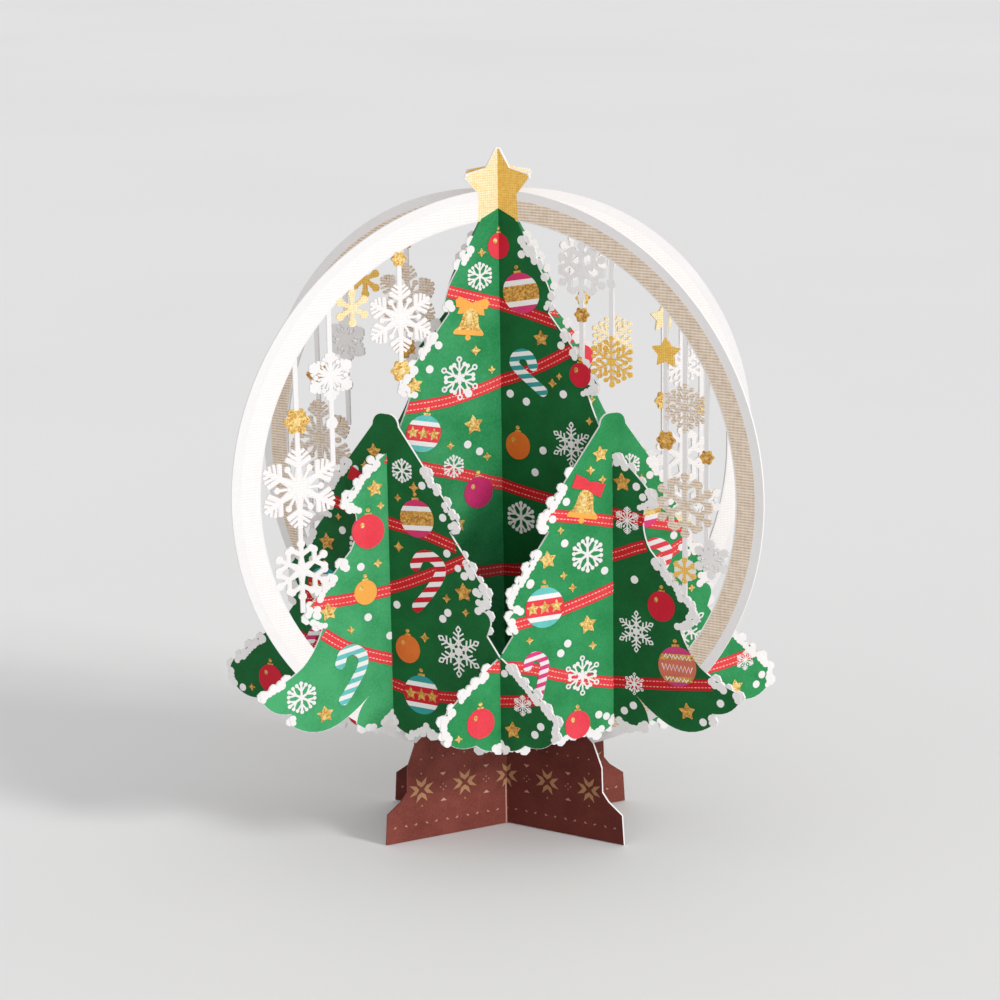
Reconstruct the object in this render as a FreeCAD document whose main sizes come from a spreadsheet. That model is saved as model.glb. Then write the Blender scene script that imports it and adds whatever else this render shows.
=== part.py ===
"""A pop-up card of four die-cut card plates, slotted into each other, that shear flat when closed.

Each plate is drawn flat, with x along the plate from its spine and y up from the surface that the
card stands on, and is then stood up and turned about the vertical.
"""

import FreeCAD, Part
import math
import os
import Sketcher

doc = FreeCAD.newDocument("PopUpCard")

# Driving sizes, in millimetres and degrees.
SIZES = {
    "overall_height": 180.0,
    "hoop_radius": 73.8,
    "hoop_width": 7.6,
    "star_rise": 10.4,
    "card_thickness": 0.6,
    "opening_half_angle": 27.5,
    "small_tree_offset": 32.0,
    "small_tree_height": 116.0,
    "small_tree_reach": 49.5,
    "star_radius": 9.6,
    "foot_half_width": 35.0,
    "foot_waist_height": 13.5,
    "foot_overlap": 9.0,
    "strip_width": 1.2,
    "snow_radius": 1.6,
    "snow_spacing": 4.9,
    "tip_gap": 12.4,
    "slot_clearance": 0.1,
}

# Sizes that follow from the others: the hoop hangs below the star, and the foot reaches up over it.
FOLLOWING = {
    "hoop_centre_height": "=overall_height - star_rise - hoop_radius",
    "foot_top_height": "=hoop_centre_height - hoop_radius + foot_overlap",
}

sheet = doc.addObject("Spreadsheet::Sheet", "Sizes")
for row, (alias, value) in enumerate([*SIZES.items(), *FOLLOWING.items()], start=1):
    sheet.set("A%d" % row, alias)
    sheet.set("B%d" % row, str(value))
    sheet.setAlias("B%d" % row, alias)
doc.recompute()


def size(alias):
    return float(sheet.get(alias))


# Outlines are half outlines, from the top down, as shares of a plate's reach and height. The third
# number is the bow of the edge that arrives there, as a share of its length, outward positive. The
# fourth is the share of that edge after which snow lies on it, and 1 leaves it bare.
MAIN_TREE = (
    (0.000, 0.917, 0.0, 1.0),
    (0.148, 0.8455, 0.03, 0.55),
    (0.157, 0.835, 0.0, 0.0),
    (0.207, 0.7915, 0.05, 1.0),
    (0.192, 0.773, 0.0, 0.0),
    (0.383, 0.678, 0.0, 0.25),
    (0.342, 0.662, 0.0, 0.0),
    (0.427, 0.588, -0.03, 1.0),
    (0.602, 0.521, 0.04, 0.05),
    (0.557, 0.507, 0.0, 0.0),
    (0.578, 0.450, -0.10, 1.0),
    (0.753, 0.3695, 0.0, 0.10),
    (0.690, 0.343, 0.15, 0.0),
    (0.768, 0.290, -0.06, 1.0),
    (0.900, 0.262, 0.05, 0.3),
    (0.916, 0.246, 0.20, 0.0),
    (0.815, 0.224, 0.14, 1.0),
    (0.805, 0.203, 0.20, 0.0),
    (0.645, 0.197, 0.14, 1.0),
    (0.523, 0.233, 0.04, 1.0),
    (0.575, 0.193, 0.10, 1.0),
)
SMALL_TREE = (
    (0.000, 0.995, 0.0, 1.0),
    (0.075, 0.968, 0.25, 1.0),
    (0.425, 0.768, 0.0, 0.40),
    (0.366, 0.748, 0.0, 0.0),
    (0.600, 0.610, 0.0, 0.25),
    (0.550, 0.582, 0.0, 0.0),
    (0.598, 0.552, 0.2, 0.0),
    (0.575, 0.525, 0.0, 0.0),
    (0.646, 0.483, 0.0, 1.0),
    (0.955, 0.372, 0.02, 0.12),
    (0.955, 0.310, 0.20, 0.0),
    (0.790, 0.290, 0.15, 1.0),
    (0.620, 0.282, 0.20, 0.5),
)

# The bottom edge of each tree between its lobes is a row of scallops: count, and the height of the
# valleys at the spine as a share of the tree's height.
MAIN_SCALLOPS = (4, 0.209)
SMALL_SCALLOPS = (3, 0.290)
SCALLOP_BOW = 0.25

# Hangings in the windows between hoop and tree: kind, place and radius, as shares of the hoop's inner
# radius from its centre. A strip hangs from the hoop at each place down to a height in the same shares.
STRIPS = (
    (-0.415, 0.380),
    (-0.609, 0.700),
    (-0.704, 0.120),
    (-0.845, -0.440),
    (0.356, 0.440),
    (0.710, -0.040),
    (0.790, -0.430),
    (0.880, -0.228),
)
HANGINGS = (
    ("disc", -0.415, 0.884, 0.025),
    ("snowflake", -0.415, 0.657, 0.133),
    ("disc", -0.415, 0.455, 0.035),
    ("small snowflake", -0.609, 0.715, 0.067),
    ("snowflake", -0.704, 0.465, 0.097),
    ("disc", -0.704, 0.285, 0.025),
    ("disc", -0.845, 0.308, 0.044),
    ("snowflake", -0.845, 0.050, 0.158),
    ("snowflake", -0.845, -0.272, 0.112),
    ("snowflake", 0.356, 0.826, 0.104),
    ("disc", 0.356, 0.660, 0.025),
    ("disc", 0.483, 0.790, 0.021),
    ("star", 0.710, 0.548, 0.048),
    ("disc", 0.710, 0.213, 0.032),
    ("small snowflake", 0.790, 0.346, 0.080),
    ("snowflake", 0.790, -0.030, 0.121),
    ("disc", 0.790, -0.284, 0.047),
    ("disc", 0.880, 0.166, 0.024),
    ("small snowflake", 0.900, -0.228, 0.077),
)

# Corners of the small rounds: the snow bumps and the hanging discs.
DISC_SIDES = 7

# A snowflake's bar width, hub radius and side branches (root and length), as shares of its radius.
SNOWFLAKE_BAR = 0.13
SNOWFLAKE_HUB = 0.24
SNOWFLAKE_BRANCHES = ((0.52, 0.32),)
SMALL_SNOWFLAKE_BAR = 0.20
STAR_INNER_SHARE = 0.60
STAR_POINT_WIDTH = 0.12

# The snowflake that hangs above each crossing small tree, as shares of the hoop's inner radius.
TIP_SNOWFLAKE = (0.483, 0.076)


def point(x, y):
    return FreeCAD.Vector(x, y, 0)


def outline_edge(start, end, bow, centre):
    """A straight edge, or an arc that bows away from the centre by a share of its length."""
    if abs(bow) < 1e-6:
        return Part.makeLine(start, end)
    chord = end - start
    normal = FreeCAD.Vector(-chord.y, chord.x, 0)
    middle = (start + end) * 0.5
    if normal.dot(middle - centre) < 0:
        normal = -normal
    return Part.Arc(start, middle + normal * bow, end).toShape()


def tree_side(half, scallops, reach, height):
    """The edges down one side of a tree, each with the share of it after which snow lies."""
    count, valley_share = scallops
    last_x, last_y = half[-1][:2]
    steps = [i / count for i in range(1, count + 1)]
    row = [(last_x * (1 - s), last_y + (valley_share - last_y) * s, SCALLOP_BOW, 0.0) for s in steps]
    side = list(half) + row
    corners = [point(x * reach, y * height) for x, y, _, _ in side]
    centre = point(0, height * 0.5)
    return [
        (outline_edge(corners[i - 1], corners[i], side[i][2], centre), side[i][3])
        for i in range(1, len(side))
    ]


def tree_faces(half, scallops, front_reach, back_reach, height):
    """A tree's face and its snow bumps, with the front side on +x and the back side on -x."""
    front = tree_side(half, scallops, front_reach, height)
    back = tree_side(half, scallops, -back_reach, height)
    outline = Part.Wire([edge for edge, _ in front] + [edge for edge, _ in back[::-1]])
    return [Part.Face(outline)] + snow_faces(front) + snow_faces(back)


def polygon_face(corners):
    return Part.Face(Part.makePolygon(corners + corners[:1]))


def disc_face(x, y, radius):
    """A small round, die-cut with a few straight sides."""
    turns = [2 * math.pi * i / DISC_SIDES for i in range(DISC_SIDES)]
    return polygon_face([point(x + radius * math.cos(t), y + radius * math.sin(t)) for t in turns])


def star_face(x, y, radius):
    """A five-pointed star with one point up, its points cut off a little."""
    half_point, inner = STAR_POINT_WIDTH * radius / 2, STAR_INNER_SHARE * radius
    valley_u, valley_v = inner * math.cos(math.radians(36)), inner * math.sin(math.radians(36))
    corners = []
    for i in range(5):
        angle = math.radians(90 + 72 * i)
        for u, v in ((radius, -half_point), (radius, half_point), (valley_u, valley_v)):
            corner_x = x + u * math.cos(angle) - v * math.sin(angle)
            corner_y = y + u * math.sin(angle) + v * math.cos(angle)
            corners.append(point(corner_x, corner_y))
    return polygon_face(corners)


def small_snowflake_face(x, y, radius):
    return snowflake_face(x, y, radius, SMALL_SNOWFLAKE_BAR, ())


def snowflake_face(x, y, radius, bar_share=SNOWFLAKE_BAR, branches=SNOWFLAKE_BRANCHES):
    """Six arms from a hub, one of them straight up, with pairs of side branches."""
    half_bar = bar_share * radius / 2
    lean = math.radians(60)
    along, across = math.cos(lean), math.sin(lean)
    side = []
    for root_share, length_share in branches:
        root, length, bar = root_share * radius, length_share * radius, 2 * half_bar
        end_u, end_v = root + length * along, half_bar + length * across
        side += [(root, half_bar), (end_u, end_v)]
        side += [(end_u + bar * across, end_v - bar * along), (root + bar / across, half_bar)]
    side.append((radius, half_bar))
    arm = [(u, -v) for u, v in side] + side[::-1]
    corners = []
    for i in range(6):
        angle = math.radians(90 + 60 * i)
        valley = angle - math.radians(30)
        hub = SNOWFLAKE_HUB * radius
        corners.append(point(x + hub * math.cos(valley), y + hub * math.sin(valley)))
        for u, v in arm:
            corner_x = x + u * math.cos(angle) - v * math.sin(angle)
            corner_y = y + u * math.sin(angle) + v * math.cos(angle)
            corners.append(point(corner_x, corner_y))
    return polygon_face(corners)


def snow_faces(side):
    """Round snow bumps along the snowy edges of a tree's side, a large and a small one by turns."""
    radii = (size("snow_radius"), size("snow_radius") * 0.75)
    bumps = []
    for edge, bare_share in side:
        snowy = edge.Length * (1 - bare_share)
        count = math.ceil(snowy / size("snow_spacing"))
        for i in range(count):
            along = edge.Length * bare_share + snowy * (i + 0.5) / count
            place = edge.valueAt(edge.getParameterByLength(along))
            bumps.append(disc_face(place.x, place.y, radii[len(bumps) % 2]))
    return bumps


def face_up(face):
    """The face with its normal up, because only faces that look the same way join into one."""
    if face.normalAt(0, 0).z < 0:
        face.reverse()
    return face


def add_card(name, shape):
    """A Part::Feature of card pieces, centred on the plate's middle plane."""
    feature = doc.addObject("Part::Feature", name)
    feature.Shape = shape
    feature.Placement.Base.z = -size("card_thickness") / 2
    return feature


def joined_card(name, faces):
    """Faces that all connect, joined in the plane and then given the card's thickness."""
    facing_up = [face_up(face) for face in faces]
    joined = facing_up[0].multiFuse(facing_up[1:]).removeSplitter()
    return add_card(name, joined.Faces[0].extrude(FreeCAD.Vector(0, 0, size("card_thickness"))))


def make_hoop():
    """The round frame: a ring of the card, centred above the foot."""
    disc = doc.addObject("Part::Cylinder", "hoop_disc")
    hole = doc.addObject("Part::Cylinder", "hoop_hole")
    disc.setExpression("Radius", "Sizes.hoop_radius")
    hole.setExpression("Radius", "Sizes.hoop_radius - Sizes.hoop_width")
    for cylinder in (disc, hole):
        cylinder.setExpression("Height", "Sizes.card_thickness")
        cylinder.setExpression("Placement.Base.y", "Sizes.hoop_centre_height")
        cylinder.setExpression("Placement.Base.z", "-Sizes.card_thickness / 2")
    ring = doc.addObject("Part::Cut", "hoop")
    ring.Base = disc
    ring.Tool = hole
    return ring


def make_foot():
    """The stepped trunk that the card stands on, as a padded sketch with every corner tied to the sheet."""
    body = doc.addObject("PartDesign::Body", "foot")
    sketch = body.newObject("Sketcher::SketchObject", "foot_outline")
    front_plane = [f for f in body.Origin.OriginFeatures if f.Role == "XY_Plane"][0]
    sketch.AttachmentSupport = [(front_plane, "")]
    sketch.MapMode = "FlatFace"
    side = [
        ("Sizes.foot_half_width", "0"),
        ("Sizes.foot_half_width * 0.985", "Sizes.foot_waist_height * 0.60"),
        ("Sizes.foot_half_width * 0.870", "Sizes.foot_waist_height * 0.83"),
        ("Sizes.foot_half_width * 0.820", "Sizes.foot_waist_height"),
        ("Sizes.foot_half_width * 0.815", "Sizes.foot_waist_height * 1.50"),
        ("Sizes.foot_half_width * 0.745", "Sizes.foot_waist_height * 1.97"),
        ("Sizes.foot_half_width * 0.600", "Sizes.foot_top_height"),
    ]
    corners = side + [("-(%s)" % x, y) for x, y in side[::-1]]
    guesses = [(float(sheet_value(x)), float(sheet_value(y))) for x, y in corners]
    for i, (x, y) in enumerate(guesses):
        next_x, next_y = guesses[(i + 1) % len(guesses)]
        sketch.addGeometry(Part.LineSegment(point(x, y), point(next_x, next_y)), False)
    for i in range(len(corners)):
        sketch.addConstraint(Sketcher.Constraint("Coincident", i, 2, (i + 1) % len(corners), 1))
    for i, (x, y) in enumerate(corners):
        across = sketch.addConstraint(Sketcher.Constraint("DistanceX", -1, 1, i, 1, guesses[i][0]))
        sketch.setExpression("Constraints[%d]" % across, x)
        if y == "0":
            sketch.addConstraint(Sketcher.Constraint("PointOnObject", i, 1, -1))
        else:
            up = sketch.addConstraint(Sketcher.Constraint("DistanceY", -1, 1, i, 1, guesses[i][1]))
            sketch.setExpression("Constraints[%d]" % up, y)
    pad = body.newObject("PartDesign::Pad", "foot_card")
    pad.Profile = sketch
    pad.setExpression("Length", "Sizes.card_thickness")
    pad.Midplane = True
    return body


def sheet_value(expression):
    """The number that a product of a sheet cell and plain numbers comes to."""
    sign = -1.0 if expression.startswith("-") else 1.0
    value = 1.0
    for factor in expression.strip("-()").split(" * "):
        value *= size(factor[len("Sizes."):]) if factor.startswith("Sizes.") else float(factor)
    return sign * value


def top_face(feature):
    """The upper flat side of a parametric piece of card, brought to the drawing plane."""
    face = max(feature.Shape.Faces, key=lambda f: f.CenterOfMass.z).copy()
    face.translate(FreeCAD.Vector(0, 0, -size("card_thickness") / 2))
    return face


def hanging_faces():
    """The strips that hang from the hoop, and the snowflakes, discs and star on them."""
    inner = size("hoop_radius") - size("hoop_width")
    centre_y = size("hoop_centre_height")
    makers = {
        "disc": disc_face,
        "snowflake": snowflake_face,
        "small snowflake": small_snowflake_face,
        "star": star_face,
    }
    faces = [makers[kind](x * inner, centre_y + y * inner, radius * inner) for kind, x, y, radius in HANGINGS]
    half_strip = size("strip_width") / 2
    for x, low in STRIPS:
        top = centre_y + inner * math.sqrt(1 - x * x) + size("hoop_width") / 2
        bottom = centre_y + low * inner
        left, right = x * inner - half_strip, x * inner + half_strip
        faces.append(polygon_face([point(left, bottom), point(right, bottom), point(right, top), point(left, top)]))
    return faces


def tip_snowflake_faces():
    """The snowflake above a crossing small tree, and its strip, clear of that tree's tip."""
    inner = size("hoop_radius") - size("hoop_width")
    x, radius = TIP_SNOWFLAKE[0] * inner, TIP_SNOWFLAKE[1] * inner
    y = size("small_tree_height") + size("tip_gap")
    top = size("hoop_centre_height") + math.sqrt(inner * inner - x * x) + size("hoop_width") / 2
    left, right = x - size("strip_width") / 2, x + size("strip_width") / 2
    strip = polygon_face([point(left, y), point(right, y), point(right, top), point(left, top)])
    return [small_snowflake_face(x, y, radius), strip]


def make_main_blank(ring, trunk):
    """A main plate before its slots: hoop, foot, big tree with its snow, star and hangings."""
    reach, height = size("hoop_radius"), size("overall_height")
    tree = tree_faces(MAIN_TREE, MAIN_SCALLOPS, reach, reach, height)
    star = star_face(0, height - size("star_radius"), size("star_radius"))
    sheet_faces = [top_face(ring), top_face(trunk), star] + tree
    return joined_card("main_blank", sheet_faces + hanging_faces() + tip_snowflake_faces())


def make_small_sheet(name, back_reach):
    """A whole small tree on one side of its spine, and its longer or shorter back branch on the other."""
    reach, height = size("small_tree_reach"), size("small_tree_height")
    return joined_card(name, tree_faces(SMALL_TREE, SMALL_SCALLOPS, reach, back_reach, height))


def make_slot(name, place, low, high):
    """A cutter for a half-lap slot, wide enough for a plate that crosses at the opened angle."""
    box = doc.addObject("Part::Box", name)
    width = ("(Sizes.card_thickness * (1 + abs(cos(2 * Sizes.opening_half_angle)))"
             " / sin(2 * Sizes.opening_half_angle) + 2 * Sizes.slot_clearance)")
    box.setExpression("Length", width)
    box.setExpression("Width", "%s - (%s)" % (high, low))
    box.setExpression("Height", "3 * Sizes.card_thickness")
    box.setExpression("Placement.Base.x", "%s - %s / 2" % (place, width))
    box.setExpression("Placement.Base.y", low)
    box.setExpression("Placement.Base.z", "-1.5 * Sizes.card_thickness")
    return box


def make_plate(label, blank, slots, turn, base_x, base_y):
    """A blank with its slots cut, stood up and turned to its place."""
    tools = doc.addObject("Part::MultiFuse", label + "_slots")
    tools.Shapes = slots
    plate = doc.addObject("Part::Cut", label)
    plate.Base = blank
    plate.Tool = tools
    plate.Label = label
    upright = FreeCAD.Rotation(FreeCAD.Vector(1, 0, 0), 90)
    turned = FreeCAD.Rotation(FreeCAD.Vector(0, 0, 1), turn)
    plate.Placement = FreeCAD.Placement(FreeCAD.Vector(base_x, base_y, 0), turned * upright)
    return plate


hoop = make_hoop()
foot = make_foot()
doc.recompute()
main_blank = make_main_blank(hoop, foot)

# Heights where the slots of two crossing plates meet.
MIDDLE = "Sizes.overall_height * 0.51"
TREE_MIDDLE = "Sizes.small_tree_height * 0.60"
FRONT_MIDDLE = "Sizes.small_tree_height * 0.375"
ABOVE_TREES = "max(Sizes.small_tree_height * 1.02; Sizes.overall_height * 0.655)"
ABOVE_ALL = "Sizes.overall_height * 1.1"
BELOW = "-Sizes.card_thickness"
ABOVE_FRONT_TIPS = "Sizes.small_tree_height * 0.65"
OFFSET = "Sizes.small_tree_offset"

half_angle = size("opening_half_angle")
offset_x = size("small_tree_offset") * math.cos(math.radians(half_angle))
offset_y = size("small_tree_offset") * math.sin(math.radians(half_angle))
side_reach = size("small_tree_reach")

# The left plate runs from front left to back right, slotted from below at the spine.
left_plate = make_plate(
    "left_round_plate", main_blank,
    [make_slot("left_spine_slot", "0", BELOW, MIDDLE),
     make_slot("left_tree_slot", "-" + OFFSET, TREE_MIDDLE, ABOVE_TREES)],
    half_angle, 0, 0)

# The right plate runs from front right to back left, slotted from above.
right_plate = make_plate(
    "right_round_plate", main_blank,
    [make_slot("right_spine_slot", "0", MIDDLE, ABOVE_ALL),
     make_slot("right_tree_slot", OFFSET, TREE_MIDDLE, ABOVE_TREES)],
    -half_angle, 0, 0)

# The small tree plates stand across the front wings and cross each other between them.
left_tree = make_plate(
    "left_tree_plate", make_small_sheet("left_tree_sheet", side_reach * 1.05),
    [make_slot("left_tree_low_slot", "0", BELOW, TREE_MIDDLE),
     make_slot("left_tree_front_slot", OFFSET, BELOW, FRONT_MIDDLE)],
    -half_angle, -offset_x, -offset_y)
right_tree = make_plate(
    "right_tree_plate", make_small_sheet("right_tree_sheet", side_reach * 0.96),
    [make_slot("right_tree_low_slot", "0", BELOW, TREE_MIDDLE),
     make_slot("right_tree_front_slot", OFFSET, FRONT_MIDDLE, ABOVE_FRONT_TIPS)],
    half_angle + 180, offset_x, -offset_y)

doc.recompute()

for item in doc.Objects:
    if "Invalid" in item.State or "Error" in item.State:
        raise RuntimeError("%s failed: %s" % (item.Name, item.State))

os.makedirs("parts", exist_ok=True)
for plate in (left_plate, right_plate, left_tree, right_tree):
    shape = plate.Shape
    if shape.isNull() or not shape.isValid() or len(shape.Solids) != 1:
        raise RuntimeError("%s is not one valid solid: %d" % (plate.Label, len(shape.Solids)))
    shape.exportStep("parts/%s.step" % plate.Label)
    print(plate.Label, "solids", len(shape.Solids), "faces", len(shape.Faces), "volume", round(shape.Volume, 1))
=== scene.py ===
"""A round pop-up card: four printed, die-cut card plates that slot into each other and stand open."""

import math
import random

import bmesh
import bpy
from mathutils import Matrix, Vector


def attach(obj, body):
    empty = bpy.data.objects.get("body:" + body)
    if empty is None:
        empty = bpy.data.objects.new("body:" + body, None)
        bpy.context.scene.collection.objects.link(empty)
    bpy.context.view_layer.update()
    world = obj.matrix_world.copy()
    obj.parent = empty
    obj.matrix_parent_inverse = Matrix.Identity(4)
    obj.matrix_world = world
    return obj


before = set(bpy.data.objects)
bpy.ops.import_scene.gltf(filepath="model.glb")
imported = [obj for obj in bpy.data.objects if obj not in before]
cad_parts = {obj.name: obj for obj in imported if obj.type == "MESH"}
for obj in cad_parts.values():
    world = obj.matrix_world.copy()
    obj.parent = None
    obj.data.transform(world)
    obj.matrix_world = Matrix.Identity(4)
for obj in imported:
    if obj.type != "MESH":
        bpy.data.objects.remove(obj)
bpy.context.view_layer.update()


# The four card plates
# The plates are stout white card, cut by one die, printed on both faces and left white on the cut edge.
# They have no glue: each drops into the half-lap slots of its neighbour. The solids stay as they are.

OPENING = math.radians(27.5)
CARD_HALF = 0.3
TREE_OFFSET = 32.0
FRONT_X = TREE_OFFSET * math.cos(OPENING)
FRONT_Y = TREE_OFFSET * math.sin(OPENING)

# Where each plate's spine stands, in millimetres, and which way its right-hand side points.
PLATES = {
    "left_round_plate": (0.0, 0.0, OPENING),
    "right_round_plate": (0.0, 0.0, -OPENING),
    "left_tree_plate": (-FRONT_X, -FRONT_Y, -OPENING),
    "right_tree_plate": (FRONT_X, -FRONT_Y, OPENING),
}
ROUND_PLATES = ("left_round_plate", "right_round_plate")
TREE_PLATES = ("left_tree_plate", "right_tree_plate")


class Socket:
    """An output of a node in a finish; arithmetic on it adds Math nodes."""

    def __init__(self, tree, output=None):
        self.tree = tree
        self.output = output

    def node(self, kind, settings, inputs, output=0):
        """Any node: its settings first, then the values or links of its sockets."""
        made = self.tree.nodes.new(kind)
        for name, value in settings.items():
            setattr(made, name, value)
        for name, value in inputs.items():
            if isinstance(value, Socket):
                self.tree.links.new(value.output, made.inputs[name])
            else:
                made.inputs[name].default_value = value
        return Socket(self.tree, made.outputs[output])

    def math(self, operation, first, second):
        return self.node("ShaderNodeMath", {"operation": operation}, {0: first, 1: second})

    def __add__(self, other):
        return self.math("ADD", self, other)

    def __sub__(self, other):
        return self.math("SUBTRACT", self, other)

    def __rsub__(self, other):
        return self.math("SUBTRACT", other, self)

    def __mul__(self, other):
        return self.math("MULTIPLY", self, other)

    __radd__ = __add__
    __rmul__ = __mul__

    def tint(self, first, second):
        """The first colour where this is 0, and the second where it is 1."""
        colours = {0: self, 6: first, 7: second}
        for place in (6, 7):
            if not isinstance(colours[place], Socket):
                colours[place] = (*colours[place], 1.0)
        return self.node("ShaderNodeMix", {"data_type": "RGBA"}, colours, 2)


def start_finish(name):
    """A new material, and a socket to build its nodes from."""
    material = bpy.data.materials.new(name)
    material.use_nodes = True
    return material, Socket(material.node_tree)


def wire(material, values):
    """The values and links of a material's shader."""
    inputs = material.node_tree.nodes["Principled BSDF"].inputs
    for name, value in values.items():
        if isinstance(value, Socket):
            material.node_tree.links.new(value.output, inputs[name])
        else:
            inputs[name].default_value = value


def object_place(root):
    return root.node("ShaderNodeTexCoord", {}, {}, "Object")


def noise(root, scale, detail=3.0):
    """Cloudy noise in the object's own space, with a scale in cycles per metre."""
    values = {"Vector": object_place(root), "Scale": scale, "Detail": detail}
    return root.node("ShaderNodeTexNoise", {}, values)


def relief(root, height, strength, depth):
    """Bumps from a height between 0 and 1, with a depth in metres."""
    return root.node("ShaderNodeBump", {}, {"Height": height, "Strength": strength, "Distance": depth})


card_white, root = start_finish("white_card")
fibres = noise(root, 1400.0, 5.0)
clouds = noise(root, 90.0)
pulp = (fibres * 0.6 + clouds * 0.4).tint((0.81, 0.795, 0.79), (0.93, 0.915, 0.91))
wire(card_white, {
    "Base Color": pulp, "Roughness": fibres * 0.2 + 0.6, "Normal": relief(root, fibres, 0.25, 0.00008),
})
for node in PLATES:
    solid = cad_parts[node]
    solid.data.materials.clear()
    solid.data.materials.append(card_white)


# The tree print
# Each tree is printed edge to edge in green ink on the card, a little unevenly, and the die follows it.
# The print stops just short of the cut, where the white of the card shows as a thin line.

# Half outlines from the top down, as shares of a plate's reach and height. The third number is the bow
# of the edge that arrives there, and the fourth is the share of that edge after which snow lies on it.
MAIN_TREE = (
    (0.000, 0.917, 0.0, 1.0), (0.148, 0.8455, 0.03, 0.55), (0.157, 0.835, 0.0, 0.0),
    (0.207, 0.7915, 0.05, 1.0), (0.192, 0.773, 0.0, 0.0), (0.383, 0.678, 0.0, 0.25),
    (0.342, 0.662, 0.0, 0.0), (0.427, 0.588, -0.03, 1.0), (0.602, 0.521, 0.04, 0.05),
    (0.557, 0.507, 0.0, 0.0), (0.578, 0.45, -0.1, 1.0), (0.753, 0.3695, 0.0, 0.1),
    (0.69, 0.343, 0.15, 0.0), (0.768, 0.29, -0.06, 1.0), (0.9, 0.262, 0.05, 0.3),
    (0.916, 0.246, 0.2, 0.0), (0.815, 0.224, 0.14, 1.0), (0.805, 0.203, 0.2, 0.0),
    (0.645, 0.197, 0.14, 1.0), (0.523, 0.233, 0.04, 1.0), (0.575, 0.193, 0.1, 1.0),
)
SMALL_TREE = (
    (0.000, 0.995, 0.0, 1.0), (0.075, 0.968, 0.25, 1.0), (0.425, 0.768, 0.0, 0.4),
    (0.366, 0.748, 0.0, 0.0), (0.6, 0.61, 0.0, 0.25), (0.55, 0.582, 0.0, 0.0),
    (0.598, 0.552, 0.2, 0.0), (0.575, 0.525, 0.0, 0.0), (0.646, 0.483, 0.0, 1.0),
    (0.955, 0.372, 0.02, 0.12), (0.955, 0.31, 0.2, 0.0), (0.79, 0.29, 0.15, 1.0),
    (0.62, 0.282, 0.2, 0.5),
)
HOOP_RADIUS, HOOP_CENTRE, OVERALL_HEIGHT = 73.8, 95.8, 180.0
SMALL_REACH, SMALL_HEIGHT = 49.5, 116.0
SCALLOP_BOW = 0.25
WHITE_EDGE = 0.07
BOW_STEPS = 6


def bowed(start, end, bow, centre):
    """Points after the start along a straight edge, or along one that bows away from the centre."""
    if abs(bow) < 1e-6:
        return [end]
    chord = end - start
    normal = Vector((-chord.y, chord.x))
    if normal.dot((start + end) / 2 - centre) < 0:
        normal = -normal
    steps = [i / BOW_STEPS for i in range(1, BOW_STEPS + 1)]
    return [start + chord * t + normal * (bow * 4 * t * (1 - t)) for t in steps]


def tree_side(half, scallops, reach, height):
    """The runs of points down one side of a tree, each with the share of it after which snow lies."""
    count, valley = scallops
    last_x, last_y = half[-1][:2]
    shares = [i / count for i in range(1, count + 1)]
    row = [(last_x * (1 - s), last_y + (valley - last_y) * s, SCALLOP_BOW, 0.0) for s in shares]
    side = list(half) + row
    corners = [Vector((x * reach, y * height)) for x, y, _, _ in side]
    centre = Vector((0, height / 2))
    return [([corners[i - 1]] + bowed(corners[i - 1], corners[i], side[i][2], centre), side[i][3])
            for i in range(1, len(side))]


def closed_outline(right, left):
    """The closed outline of a tree from its two sides, clockwise from the apex."""
    points = [point for run, _ in right for point in run[:-1]]
    points += [point for run, _ in left[::-1] for point in run[:0:-1]]
    return points


HAIRPIN, LEAST_SHARE = 0.3, 0.45


def drawn_in(points, distance):
    """A closed outline that runs clockwise, moved inwards by a distance, but not where it turns back."""
    moved = []
    for i, here in enumerate(points):
        before = (here - points[i - 1]).normalized()
        after = (points[(i + 1) % len(points)] - here).normalized()
        inwards = Vector((before.y + after.y, -before.x - after.x))
        if inwards.length < HAIRPIN:
            moved.append(here.copy())
            continue
        inwards.normalize()
        share = max(LEAST_SHARE, inwards.dot(Vector((after.y, -after.x))))
        moved.append(here + inwards * (distance / share))
    return moved


def both_sides(half, scallops, right_reach, left_reach, height):
    return tree_side(half, scallops, right_reach, height), tree_side(half, scallops, -left_reach, height)


round_sides = both_sides(MAIN_TREE, (4, 0.209), HOOP_RADIUS, HOOP_RADIUS, OVERALL_HEIGHT)
SIDES = {
    "left_round_plate": round_sides,
    "right_round_plate": round_sides,
    "left_tree_plate": both_sides(SMALL_TREE, (3, 0.29), SMALL_REACH, SMALL_REACH * 1.05, SMALL_HEIGHT),
    "right_tree_plate": both_sides(SMALL_TREE, (3, 0.29), SMALL_REACH * 0.96, SMALL_REACH, SMALL_HEIGHT),
}


# The two plates that face away from the lamp carry the painted-shade twin of an ink or foil, where it has
# one: a darker copy of the same print, with their shade painted into its colour.
SHADED_PLATES = ("right_round_plate", "left_tree_plate")
PAINTED_SHADE_TWIN = {}
# Neighbours in a list of prints are set apart by a hair, so that no two lie in one plane.
HAIR, HAIR_CYCLE = 0.0012, 12
GREEN_PROUD, TIP_PROUD = 0.04, 0.044


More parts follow.
